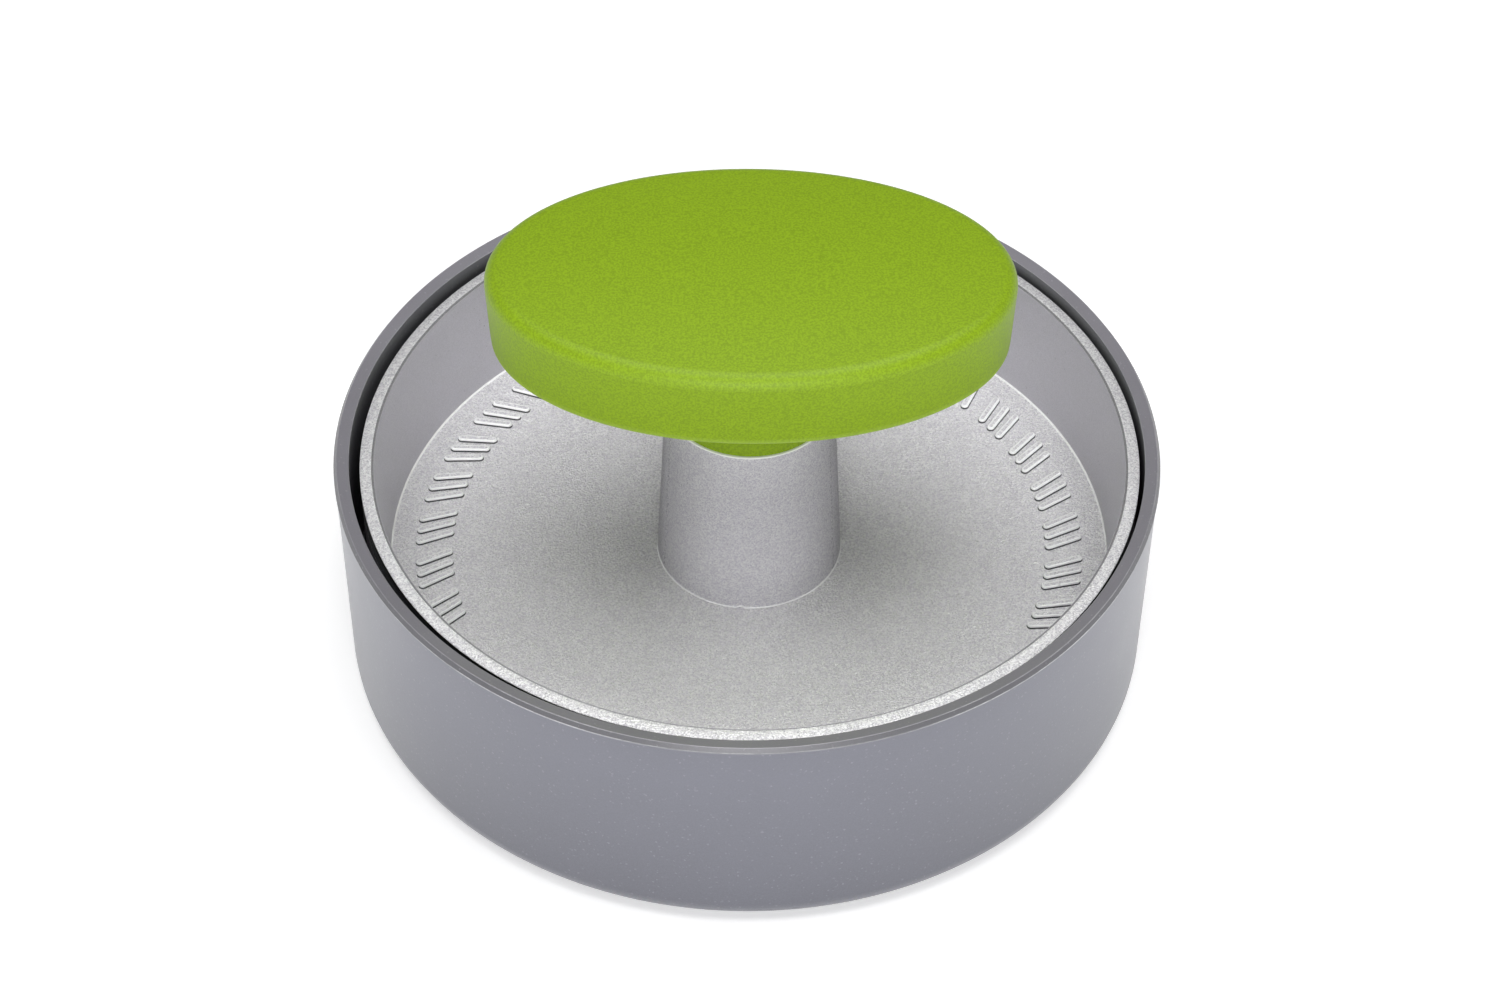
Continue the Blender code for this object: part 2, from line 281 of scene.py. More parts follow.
def rounded(corners, closed=False):
    """The outline through the corners, with an arc at each that has a fillet."""
    points = []
    for index, corner in enumerate(corners):
        at_end = not closed and index in (0, len(corners) - 1)
        if corner.fillet == 0 or at_end:
            points.append(Point(corner.r, corner.z, corner.finish, corner.wear))
            continue
        here = Vector((corner.r, corner.z))
        before = Vector(corners[index - 1][:2]) - here
        after = Vector(corners[(index + 1) % len(corners)][:2]) - here
        half = before.angle(after) / 2
        middle = (before.normalized() + after.normalized()).normalized()
        centre = here + middle * corner.fillet / math.sin(half)
        start = here + before.normalized() * corner.fillet / math.tan(half) - centre
        turn = math.pi - 2 * half
        if before.x * after.y - before.y * after.x > 0:
            turn = -turn
        steps = max(3, math.ceil(abs(turn) / FILLET_TURN))
        arc = []
        for step in range(steps + 1):
            spoke = start.copy()
            spoke.rotate(Matrix.Rotation(turn * step / steps, 2))
            arc.append(centre + spoke)
        if corner.wear:
            fade_in = arc[0] + before.normalized() * WEAR_AND_HIGHLIGHT_FADE
            points.append(Point(*fade_in, corners[index - 1].finish, 0.0))
        points += [Point(*spot, corner.finish, corner.wear) for spot in arc]
        if corner.wear:
            points.append(Point(*(arc[-1] + after.normalized() * WEAR_AND_HIGHLIGHT_FADE), corner.finish, 0.0))
    return points


def finished(name, bm, materials, body, nodes):
    """Turn a bmesh into a piece that rides on a body and stands for CAD nodes."""
    bmesh.ops.recalc_face_normals(bm, faces=bm.faces)
    mesh = bpy.data.meshes.new(name)
    bm.to_mesh(mesh)
    bm.free()
    mesh.shade_smooth()
    for material in materials:
        mesh.materials.append(material)
    piece = bpy.data.objects.new(name, mesh)
    bpy.context.scene.collection.objects.link(piece)
    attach(piece, body)
    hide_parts(*nodes)
    return piece


def even_shading(piece):
    """Keep broad faces evenly lit beside their small fillets."""
    modifier = piece.modifiers.new("Even shading", "WEIGHTED_NORMAL")
    modifier.weight = EVEN_WEIGHT
    modifier.thresh = EVEN_THRESHOLD


def skin(bm, loops, finishes, join_ends=False):
    """Faces between successive loops of vertices; a loop of one vertex is a pole."""
    pairs = list(zip(loops, loops[1:], finishes))
    if join_ends:
        pairs.append((loops[-1], loops[0], finishes[-1]))
    for lower, upper, finish in pairs:
        count = max(len(lower), len(upper))
        for step in range(count):
            after = (step + 1) % count
            ring = [lower[step % len(lower)], lower[after % len(lower)],
                    upper[after % len(upper)], upper[step % len(upper)]]
            face = bm.faces.new(list(dict.fromkeys(ring)))
            face.material_index = finish


def turned_mesh(points, centre, steps, closed=False, radius_at=None):
    """A bmesh of an outline spun round the upright line through centre."""
    bm = bmesh.new()
    wear = bm.verts.layers.float.new("wear")
    loops = []
    for point in points:
        loop = []
        for step in range(steps if point.r > 0 else 1):
            angle = 2 * math.pi * step / steps
            radius = radius_at(point.r, point.z, angle) if radius_at else point.r
            x = centre[0] + radius * math.cos(angle)
            y = centre[1] + radius * math.sin(angle)
            vertex = bm.verts.new((x * MM, y * MM, point.z * MM))
            vertex[wear] = point.wear
            loop.append(vertex)
        loops.append(loop)
    skin(bm, loops, [point.finish for point in points], join_ends=closed)
    return bm


def oval_mesh(sections, centre):
    """A bmesh through a stack of (half length, half width, z, rubbing and painted highlight) ovals; ends of
    no size are poles.
    """
    bm = bmesh.new()
    wear_and_highlight_layer = bm.verts.layers.float.new("wear")
    loops = []
    for half_length, half_width, z, wear in sections:
        loop = []
        for step in range(OVAL_STEPS if half_length > 0 else 1):
            angle = 2 * math.pi * step / OVAL_STEPS
            x = centre[0] + half_length * math.cos(angle)
            y = centre[1] + half_width * math.sin(angle)
            vertex = bm.verts.new((x * MM, y * MM, z * MM))
            vertex[wear_and_highlight_layer] = wear
            loop.append(vertex)
        loops.append(loop)
    skin(bm, loops, [0] * len(loops))
    return bm


def prism(outline, low, high, taper=0.0):
    """A closed bmesh between two heights over an outline of (x, y) points; the taper draws its top in."""
    bm = bmesh.new()
    loops = []
    for z, share in ((low, 1.0), (high, 1.0 - taper)):
        loops.append([bm.verts.new((x * share * MM, y * share * MM, z * MM)) for x, y in outline])
    skin(bm, loops, [0, 0])
    bm.faces.new(loops[0])
    bm.faces.new(loops[1])
    return bm


def regular_outline(radius, corners):
    """Corners of a regular polygon round the origin."""
    turns = [math.tau * corner / corners for corner in range(corners)]
    return [(radius * math.cos(turn), radius * math.sin(turn)) for turn in turns]


def cut(piece, tool_bm, centre):
    """Cut a closed bmesh out of a piece, for good."""
    bmesh.ops.recalc_face_normals(tool_bm, faces=tool_bm.faces)
    mesh = bpy.data.meshes.new("tool")
    tool_bm.to_mesh(mesh)
    tool_bm.free()
    tool = bpy.data.objects.new("tool", mesh)
    tool.location = (centre[0] * MM, centre[1] * MM, 0)
    bpy.context.scene.collection.objects.link(tool)
    modifier = piece.modifiers.new("Cut", "BOOLEAN")
    modifier.operation = "DIFFERENCE"
    modifier.solver = "EXACT"
    modifier.object = tool
    bpy.context.view_layer.update()
    evaluated = piece.evaluated_get(bpy.context.evaluated_depsgraph_get())
    result = bpy.data.meshes.new_from_object(evaluated)
    piece.modifiers.clear()
    piece.data = result
    bpy.data.objects.remove(tool)


# ---------------------------------------------------------------- materials

# Sockets of a Mix node that mixes colours. They go by index, because its sockets for numbers have
# the same names.
MIX_FACTOR, MIX_A, MIX_B = 0, 6, 7
MIX_RESULT = 2


class Graph:
    """A material and short calls that add its nodes; each call returns the new node's output."""

    def __init__(self, name, roughness, metallic=0.0):
        self.material = bpy.data.materials.new(name)
        self.material.use_nodes = True
        self.tree = self.material.node_tree
        self.shader = self.tree.nodes["Principled BSDF"]
        self.shader.inputs["Roughness"].default_value = roughness
        self.shader.inputs["Metallic"].default_value = metallic
        self.place = self.node("ShaderNodeTexCoord", "Object")

    def node(self, kind, output, inputs=None, **settings):
        """A new node with its settings and its inputs, each a value or another node's output."""
        made = self.tree.nodes.new(kind)
        for setting, value in settings.items():
            setattr(made, setting, value)
        for socket, value in (inputs or {}).items():
            if isinstance(value, bpy.types.NodeSocket):
                self.tree.links.new(value, made.inputs[socket])
            else:
                made.inputs[socket].default_value = value
        return made.outputs[output]

    def noise(self, size, detail=2.0):
        """Soft cloudy noise whose features are about size millimetres across."""
        inputs = {"Vector": self.place, "Scale": 1 / (size * MM), "Detail": detail}
        return self.node("ShaderNodeTexNoise", "Fac", inputs)

    def grains(self, size, channel="Red"):
        """Cells about size millimetres across, each with its own random value in every channel."""
        inputs = {"Vector": self.place, "Scale": 1 / (size * MM)}
        cells = self.node("ShaderNodeTexVoronoi", "Color", inputs)
        return self.node("ShaderNodeSeparateColor", channel, {"Color": cells})

    def ramp(self, value, low, high, to_low=0.0, to_high=1.0):
        """A value stretched from one range to another, and held at its ends."""
        inputs = {"Value": value, "From Min": low, "From Max": high,
                  "To Min": to_low, "To Max": to_high}
        return self.node("ShaderNodeMapRange", "Result", inputs)

    def math(self, operation, a, b=0.0):
        """The result of a Math node."""
        return self.node("ShaderNodeMath", "Value", {0: a, 1: b}, operation=operation)

    def blend(self, factor, a, b):
        """The colour a, or b where the factor is 1."""
        a = (*a, 1.0) if isinstance(a, tuple) else a
        b = (*b, 1.0) if isinstance(b, tuple) else b
        inputs = {MIX_FACTOR: factor, MIX_A: a, MIX_B: b}
        return self.node("ShaderNodeMix", MIX_RESULT, inputs, data_type="RGBA")

    def height(self):
        """Height over the floor at rest, in millimetres."""
        upright = self.node("ShaderNodeSeparateXYZ", "Z", {"Vector": self.place})
        return self.math("MULTIPLY", upright, 1 / MM)

    def wear(self):
        """How rubbed, and how lit with painted highlight, the mesh is there, from 0 to 1."""
        return self.node("ShaderNodeAttribute", "Fac", attribute_name="wear")

    def bump(self, height, distance, under=None):
        """A bump of that many millimetres, on top of another one if there is one."""
        inputs = {"Height": height, "Distance": distance * MM, "Strength": 1.0}
        if under is not None:
            inputs["Normal"] = under
        return self.node("ShaderNodeBump", "Normal", inputs)

    def set(self, **sockets):
        """Link or set inputs of the shader."""
        for name, value in sockets.items():
            socket = self.shader.inputs[name.replace("_", " ").title()]
            if isinstance(value, bpy.types.NodeSocket):
                self.tree.links.new(value, socket)
            else:
                socket.default_value = (*value, 1.0) if isinstance(value, tuple) else value


# In the recipes below, sizes, heights and bumps are in millimetres. The other numbers are shares, the
# limits of a value, or the detail of a noise.

def scaled(colour, share):
    """A colour times a number, no brighter than white."""
    return tuple(min(1.0, channel * share) for channel in colour)


def clouded(g, size):
    """Broad soft patches from 0 to 1."""
    return g.ramp(g.noise(size, 3.0), 0.3, 0.7)


COATING_METALLIC = 0.25
COATING_SHADOW = (0.03, 0.03, 0.035)
COATING_SPECK = (0.7, 0.7, 0.74)
COATING_WORN_AND_LIT = (0.72, 0.72, 0.74)


def coating(name, colour, roughness, grain, shade=0.0, shade_heights=(3.0, 30.0), coat=0.2):
    """Satin metallic-effect coating: fine orange peel, faint clouding, specks, and lighter rubbed edges with
    painted highlight.

    It is darkened with painted shade, by the share shade, from the upper of the two heights down to the
    lower one.
    """
    g = Graph(name, roughness, COATING_METALLIC)
    cloud = clouded(g, 18.0)
    speck = g.ramp(g.grains(0.25), 0.97, 1.0)
    fine = g.ramp(g.noise(0.22, 1.0), 0.25, 0.75)
    tone = g.blend(cloud, scaled(colour, 0.96), scaled(colour, 1.04))
    # Painted shade: darker towards the lower of the two heights.
    tone = g.blend(g.ramp(g.height(), *shade_heights, shade, 0.0), tone, COATING_SHADOW)
    tone = g.blend(g.math("MULTIPLY", fine, grain), tone, scaled(colour, 1.5))
    tone = g.blend(g.math("MULTIPLY", speck, 0.12), tone, COATING_SPECK)
    # Lighter edges: rubbed coating, and a painted highlight along the rim's edges.
    ragged = g.ramp(g.noise(0.9, 3.0), 0.3, 0.6, 0.5, 1.0)
    patches = g.ramp(g.noise(14.0, 2.0), 0.4, 0.6, 0.35, 1.0)
    worn_and_lit = g.math("MULTIPLY", g.wear(), g.math("MULTIPLY", ragged, patches))
    tone = g.blend(g.math("MULTIPLY", worn_and_lit, 0.85), tone, COATING_WORN_AND_LIT)
    peel = g.bump(g.noise(0.7, 2.0), 0.012)
    g.set(base_color=tone, normal=g.bump(fine, 0.004, under=peel), coat_weight=coat, coat_roughness=0.3,
          roughness=g.ramp(cloud, 0, 1, roughness - 0.03, roughness + 0.04))
    return g.material


CASTING_WORN = (0.93, 0.93, 0.94)
CASTING_PAINTED_GLINT = (1.0, 0.99, 1.0)


def casting(name, colour, roughness, size, contrast, depth, metallic=0.4, spark=0.0, grazing=1.0, gloss=0.5):
    """Blasted die-cast metal: grains each tilted its own way, a few darker pores, and a share spark of
    grains made near-white as painted glints.

    Size and depth of the grains are in millimetres. Grazing is how bright the metal's reflection is
    at a grazing angle, and gloss is the level of the clear reflection over it.
    """
    g = Graph(name, roughness, metallic)
    grain = g.grains(size)
    rough = g.noise(size * 1.4, 3.0)
    cloud = clouded(g, 9.0)
    pore = g.ramp(g.grains(size * 1.5, channel="Green"), 0.997, 1.0)
    shade = g.blend(grain, scaled(colour, 1 - contrast), scaled(colour, 1 + contrast))
    shade = g.blend(g.math("MULTIPLY", cloud, 0.12), shade, scaled(colour, 0.8))
    shade = g.blend(g.math("MULTIPLY", pore, 0.5), shade, scaled(colour, 0.35))
    shade = g.blend(g.math("MULTIPLY", g.wear(), 0.6), shade, CASTING_WORN)
    # Painted glints: a share of grains turned near-white, standing in for sparkle.
    painted_glint = g.ramp(g.grains(size * 1.3, channel="Blue"), 0.88, 1.0)
    shade = g.blend(g.math("MULTIPLY", painted_glint, spark), shade, CASTING_PAINTED_GLINT)
    coarse = g.bump(rough, depth)
    g.set(base_color=shade, normal=g.bump(grain, depth * 0.6, under=coarse),
          roughness=g.ramp(grain, 0, 1, roughness + 0.08, roughness - 0.08))
    g.shader.inputs["Specular Tint"].default_value = (grazing, grazing, grazing, 1.0)
    g.shader.inputs["Specular IOR Level"].default_value = gloss
    return g.material


PLASTIC_ROUGHNESS = 0.5
PLASTIC_GLOSS = 0.34
PLASTIC_EDGE_HIGHLIGHT = (0.50, 0.66, 0.16)


def plastic(name, colour):
    """Matte moulded plastic: a fine spark-eroded grain, faint mottling and a lighter painted highlight on
    edges.
    """
    g = Graph(name, PLASTIC_ROUGHNESS)
    cloud = clouded(g, 14.0)
    fine = g.noise(0.3, 2.0)
    shade = g.blend(cloud, scaled(colour, 0.99), scaled(colour, 1.01))
    shade = g.blend(g.ramp(fine, 0.38, 0.62, 0, 0.8), shade, scaled(colour, 1.4))
    # Painted highlight: lighter green where the mesh marks an edge that catches light.
    shade = g.blend(g.math("MULTIPLY", g.wear(), 0.35), shade, PLASTIC_EDGE_HIGHLIGHT)
    g.set(base_color=shade, normal=g.bump(fine, 0.012),
          roughness=g.ramp(fine, 0.2, 0.8, 0.44, 0.56))
    g.shader.inputs["Specular IOR Level"].default_value = PLASTIC_GLOSS
    return g.material


TOOL_MARK_SIZE = 0.4
TOOL_MARK_STRETCH = (0.02, 0.02, 1.0)


def machined(name, colour, roughness):
    """Bare turned metal with fine rings cut by the tool and light smudges."""
    g = Graph(name, roughness, 1.0)
    stretched = g.node("ShaderNodeMapping", "Vector", {"Vector": g.place, "Scale": TOOL_MARK_STRETCH})
    inputs = {"Vector": stretched, "Scale": 1 / (TOOL_MARK_SIZE * MM), "Detail": 3.0}
    rings = g.node("ShaderNodeTexNoise", "Fac", inputs)
    smudge = clouded(g, 6.0)
    shade = g.blend(smudge, scaled(colour, 0.93), colour)
    g.set(base_color=shade, normal=g.bump(rings, 0.008),
          roughness=g.ramp(smudge, 0, 1, roughness, roughness + 0.1))
    return g.material


RUBBER_DARK = (0.02, 0.02, 0.022)
RUBBER_LIGHT = (0.045, 0.045, 0.048)


def rubber(name):
    """Black silicone with a dull skin."""
    g = Graph(name, 0.6)
    bloom = g.ramp(g.noise(1.5, 3.0), 0.35, 0.65)
    g.set(base_color=g.blend(bloom, RUBBER_DARK, RUBBER_LIGHT),
          normal=g.bump(g.noise(0.2), 0.004), roughness=g.ramp(bloom, 0, 1, 0.55, 0.7))
    return g.material


# Coatings of the cup: wall, bevel, rim face and bore. The wall has painted shade towards its foot, and the
# bore painted shade down in the gap.
GREY = coating("cup_coating", (0.148, 0.151, 0.184), roughness=0.42, grain=0.2, shade=0.30, coat=0.5)
GREY_BEVEL = coating("cup_bevel_coating", (0.150, 0.149, 0.161), roughness=0.42, grain=0.2)
GREY_RIM = coating("cup_rim_coating", (0.230, 0.222, 0.250), roughness=0.40, grain=0.12)
GREY_BORE = coating("cup_bore_coating", (0.21, 0.21, 0.228), roughness=0.5, grain=0.1,
                    shade=0.65, shade_heights=(33.5, 36.4))

# Silver of the plate and the stem.
CAST = casting("cast_silver", (0.93, 0.894, 0.98), roughness=0.34, size=0.2, contrast=0.3, depth=0.2,
               metallic=0.3, spark=0.9)
RIM_SILVER = casting("rim_silver", (0.83, 0.808, 0.865), roughness=0.36, size=0.2, contrast=0.3,
                     depth=0.14, spark=0.7)
TURNED = casting("turned_silver", (0.58, 0.568, 0.61), roughness=0.42, size=0.12, contrast=0.06,
                 depth=0.006, metallic=0.6)
# Painted shade: darker silver in the groove at the inner edge of the plate's rim.
GROOVE_PAINTED_SHADE = casting("groove_painted_shade", (0.30, 0.298, 0.31), roughness=0.5, size=0.2, contrast=0.1, depth=0.01)
# Painted shade: near-black under the plate's lip, and round the feet of the raised marks.
PAINTED_DARK_SHADE = casting("painted_dark_shade", (0.07, 0.07, 0.074), roughness=0.5, size=0.2, contrast=0.1,
                      depth=0.01)
STEM_SKIN = casting("stem_silver", (0.90, 0.876, 0.96), roughness=0.42, size=0.16, contrast=0.24,
                    depth=0.1, metallic=0.68, grazing=0.0, gloss=0.1)
# Painted highlight: near-white on the stem's burr and top edge, the marks' upper flanks and the dish floor's
# fillet.
PAINTED_EDGE_HIGHLIGHT = casting("painted_edge_highlight", (0.99, 0.99, 1.0), roughness=0.35, size=0.3, contrast=0.03,
                      depth=0.01, metallic=0.0)

GREEN = plastic("green_plastic", (0.198, 0.313, 0.005))
STEEL = machined("zinc_steel", (0.62, 0.62, 0.63), roughness=0.28)
BRASS = machined("brass", (0.78, 0.57, 0.25), roughness=0.3)
SILICONE = rubber("black_silicone")

# The plate's material slots, in this order.
PLATE_FINISHES = (CAST, RIM_SILVER, TURNED, PAINTED_EDGE_HIGHLIGHT, GROOVE_PAINTED_SHADE, PAINTED_DARK_SHADE)
CAST_SLOT, RIM_SLOT, TURNED_SLOT, HIGHLIGHT_SLOT, GROOVE_SHADE_SLOT, PAINTED_SHADE_SLOT = range(len(PLATE_FINISHES))

# Levels of a raised mark, from its sunken foot up: outset, share of its height, material slot.
# The foot of a mark is painted near-black as shade, and its upper flanks and edge near-white as highlight.
MARK_LEVELS = (
    (0.14, -0.3, PAINTED_SHADE_SLOT),
    (0.11, 0.05, PAINTED_SHADE_SLOT),
    (0.04, 0.5, HIGHLIGHT_SLOT),
    (-0.02, 0.85, HIGHLIGHT_SLOT),
    (-0.10, 1.0, HIGHLIGHT_SLOT),
    (-0.26, 1.0, CAST_SLOT),
)
MARK_END_STEPS = 10


# ---------------------------------------------------------------- pieces

def ring_ridge(radius, base, height, finish):
    """A ridge that rings the axis, from its outer side to its inner one; a negative height points down."""
    outer, inner = radius + RING_HALF_WIDTH, radius - RING_HALF_WIDTH
    return [
        Corner(outer + RING_SLOPE, base, 0.3, finish),
        Corner(outer, base + height, 0.25, finish),
        Corner(inner, base + height, 0.25, finish),
        Corner(inner - RING_SLOPE, base, 0.3, finish),
    ]


def make_cup():
    """The coated cup: bevelled rim, tapered wall, stop ledge and ringed floor."""
    _, high = box_mm("mould_cup")
    radius, height = high.x, high.z
    bore = radius - RIM_WIDTH
    ledge = bore - LEDGE_WIDTH
    wall, bevel, rim, inside = range(4)
    corners = [
        Corner(0.0, FOOT_RECESS),
        Corner(radius - FOOT_RING_WIDTH - FOOT_RECESS / 2, FOOT_RECESS, 0.4),
        Corner(radius - FOOT_RING_WIDTH, 0.0, 0.3),
        Corner(radius - FOOT_INSET, 0.0, FOOT_FILLET, wall),
        Corner(radius - RIM_LIP, height - RIM_LIP_HEIGHT, 0.5, wall),
        Corner(radius, height - RIM_BEVEL_HEIGHT, 0.13, bevel, 1.0),
        Corner(radius - RIM_BEVEL_WIDTH, height, 0.10, rim, 0.35),
        Corner(bore, height - RIM_DIP, 0.07, inside, 0.3),
        Corner(bore - BORE_DRAFT, LEDGE_HEIGHT, 0.2, inside),
        Corner(ledge, LEDGE_HEIGHT, 0.3, inside),
        Corner(ledge, CUP_FLOOR, CUP_FLOOR_FILLET, wall),
    ]
    for ring in CUP_RINGS:
        corners += ring_ridge(ring, CUP_FLOOR, RING_HEIGHT, wall)
    corners.append(Corner(0.0, CUP_FLOOR))
    bm = turned_mesh(rounded(corners), (0, 0), LARGE_STEPS)
    piece = finished("mould_cup_shell", bm, [GREY, GREY_BEVEL, GREY_RIM, GREY_BORE], "mould",
                     ["mould_cup"])
    even_shading(piece)


def raised_bar(bm, middle, heading, base):
    """One closed bar with round ends, raised from the dish floor."""
    along = Vector((math.cos(heading), math.sin(heading)))
    across = Vector((-along.y, along.x))
    half = (MARK_LENGTH - MARK_WIDTH) / 2
    loops = []
    for outset, share, _ in MARK_LEVELS:
        reach = MARK_WIDTH / 2 + outset
        loop = []
        for end in (1, -1):
            for step in range(MARK_END_STEPS + 1):
                turn = math.pi * (step / MARK_END_STEPS - 0.5)
                spot = middle + along * end * (half + reach * math.cos(turn))
                spot += across * end * reach * math.sin(turn)
                z = base + MARK_HEIGHT * share
                loop.append(bm.verts.new((spot.x * MM, spot.y * MM, z * MM)))
        loops.append(loop)
    skin(bm, loops, [slot for _, _, slot in MARK_LEVELS])
    bm.faces.new(loops[0])
    bm.faces.new(loops[-1])


def add_marks(bm, centre, base):
    """Two arcs of raised marks on the dish floor, in groups of slanted bars."""
    for start, end in MARK_ARCS:
        for group in range(MARK_GROUPS):
            group_angle = math.radians(start + (end - start) * group / (MARK_GROUPS - 1))
            for mark in range(MARKS_IN_GROUP):
                shift = (mark - (MARKS_IN_GROUP - 1) / 2) * MARK_SPACING / MARK_RADIUS
                angle = group_angle + shift
                spot = Vector((centre[0] + MARK_RADIUS * math.cos(angle),
                               centre[1] + MARK_RADIUS * math.sin(angle)))
                raised_bar(bm, spot, angle + MARK_SLANT, base)


def make_plate():
    """The dished plate: cast rim and floor, turned wall, raised marks, ringed face below."""
    low, high = box_mm("press_plate")
    centre = (low + high) / 2
    radius, top = (high.x - low.x) / 2, high.z
    floor = top - DISH_DEPTH
    face = low.z + PLATE_FACE_DEPTH
    dish_rim = radius - PLATE_RIM_WIDTH
    land_edge = radius - PLATE_LAND_WIDTH
    countersink_depth = COUNTERSINK_RADIUS - SCREW_HOLE_RADIUS
    lip_top = top - PLATE_RIM_FALL
    lip_foot = lip_top - PLATE_LIP
    undercut_foot = lip_foot - PLATE_UNDERCUT_HEIGHT
    groove_floor = top - RIM_GROOVE_DEPTH
    groove_ledge = top - RIM_GROOVE_DEPTH / 2
    corners = [
        Corner(SCREW_HOLE_RADIUS, face + countersink_depth, 0.15),
        Corner(COUNTERSINK_RADIUS, face, 0.15),
    ]
    for ring in PLATE_RINGS:
        corners += reversed(ring_ridge(ring, face, -RING_HEIGHT, CAST_SLOT))
    corners += [
        Corner(land_edge, face, 0.3),
        Corner(land_edge + RING_SLOPE, low.z, 0.3),
        Corner(radius - PLATE_DRAFT, low.z, 1.0, TURNED_SLOT),
        # The undercut under the lip is painted near-black as shade.
        Corner(radius - PLATE_SIDE_LEAN, undercut_foot, 0.05, PAINTED_SHADE_SLOT),
        Corner(radius - PLATE_UNDERCUT, undercut_foot + PLATE_UNDERCUT, 0.2, PAINTED_SHADE_SLOT),
        Corner(radius - PLATE_UNDERCUT, lip_foot - PLATE_UNDERCUT, 0.2, PAINTED_SHADE_SLOT),
        Corner(radius, lip_foot, 0.04, RIM_SLOT),
        Corner(radius, lip_top, PLATE_RIM_FILLET, RIM_SLOT),
    ]
    for step in range(1, PLATE_RIM_STEPS):
        share = step / PLATE_RIM_STEPS
        fall = PLATE_RIM_FALL * (1 - share) ** 2
        corners.append(Corner(radius - PLATE_RIM_WIDTH * share, top - fall, 0, RIM_SLOT))
    corners += [
        # The groove at the rim's inner edge is painted darker as shade.
        Corner(dish_rim, top, 0.05, GROOVE_SHADE_SLOT),
        Corner(dish_rim - RIM_GROOVE_WIDTH / 2, groove_floor, 0.03, GROOVE_SHADE_SLOT),
        Corner(dish_rim - RIM_GROOVE_WIDTH, groove_ledge, 0.04, TURNED_SLOT),
        Corner(dish_rim - RIM_GROOVE_LEDGE, groove_ledge, 0.04, TURNED_SLOT),
        # The fillet where the dish wall meets its floor is painted near-white as highlight.
        Corner(dish_rim - DISH_DRAFT, floor, DISH_FLOOR_FILLET, HIGHLIGHT_SLOT),
        Corner(dish_rim - DISH_DRAFT - DISH_FLOOR_FILLET, floor, 0, CAST_SLOT),
        Corner(SPIGOT_RADIUS, floor, 0.2),
        Corner(SPIGOT_RADIUS, floor + SPIGOT_HEIGHT, 0.3),
        Corner(SCREW_HOLE_RADIUS, floor + SPIGOT_HEIGHT, 0.2),
    ]
    bm = turned_mesh(rounded(corners, closed=True), centre, LARGE_STEPS, closed=True)
    add_marks(bm, centre, floor)
    piece = finished("press_plate_casting", bm, PLATE_FINISHES, "press",
                     ["press_plate"])
    even_shading(piece)


def make_stem():
    """The hollow tapered stem, with painted highlight on its top edge and on the edge where it stands on the
    dish.
    """
    low, high = box_mm("stem")
    centre = (low + high) / 2
    foot_radius = (high.x - low.x) / 2
    plate_top = box_mm("press_plate")[1].z
    foot = plate_top - DISH_DEPTH + JOINT_GAP
    pocket_top = foot + SEAL_POCKET_DEPTH
    # Slot edge is the near-white painted highlight of the burr and the top edge.
    skin_finish, edge = range(2)

    def nicked(r, z, angle):
        """Radius of the stem, with the small nick in its burr."""
        off = abs(math.remainder(angle - NICK_ANGLE, math.tau))
        if r < foot_radius - NICK_REACH or z > foot + NICK_HEIGHT or off > NICK_HALF_WIDTH:
            return r
        return r - NICK_DEPTH * (1 - (off / NICK_HALF_WIDTH) ** 2)

    corners = [
        Corner(SEAL_POCKET_RADIUS, foot, 0.1),
        Corner(foot_radius + STEM_BURR, foot, 0.04, edge),
        Corner(foot_radius + STEM_BURR, foot + STEM_BURR_EDGE, 0.05, edge),
        Corner(foot_radius, foot + STEM_BURR_TOP, 0.05, skin_finish),
        Corner(foot_radius - STEM_TAPER, high.z, 0.2, edge),
        Corner(STEM_BORE_TOP, high.z, 0.2),
        Corner(STEM_BORE_FOOT, pocket_top, 0.1),
        Corner(SEAL_POCKET_RADIUS, pocket_top, 0.1),
    ]
    bm = turned_mesh(rounded(corners, closed=True), centre, STEM_STEPS, closed=True, radius_at=nicked)
    piece = finished("stem_tube", bm, [STEM_SKIN, PAINTED_EDGE_HIGHLIGHT], "press", ["stem"])
    even_shading(piece)


def make_seal():
    """The seal ring in the stem's foot."""
    low, high = box_mm("stem_seal")
    centre = (low + high) / 2
    half = (high.z - low.z) / 2
    ring_radius = (high.x - low.x) / 2 - half
    section = regular_outline(half, SEAL_SECTION_STEPS)
    points = [Point(ring_radius + r, centre.z + z) for r, z in section]
    bm = turned_mesh(points, centre, SEAL_STEPS, closed=True)
    finished("stem_seal_ring", bm, [SILICONE], "press", ["stem_seal"])


def thread(pitch, depth, low, high):
    """Radius of a right-hand thread between two heights, as a function for turned_mesh."""
    def radius_at(r, z, angle):
        """The shank's radius less the depth of the thread there, which fades at both ends."""
        if not low < z < high:
            return r
        phase = (z / pitch - angle / (2 * math.pi)) % 1.0
        fade = min(1.0, (z - low) / pitch, (high - z) / pitch)
        return r - depth * fade * (1 - min(1.0, abs(phase - 0.5) * THREAD_STEEPNESS))
    return radius_at


def rows(radius, low, high, spacing):
    """Points up a straight shank, close enough to carry a thread."""
    count = round((high - low) / spacing)
    return [Point(radius, low + (high - low) * row / count) for row in range(count + 1)]


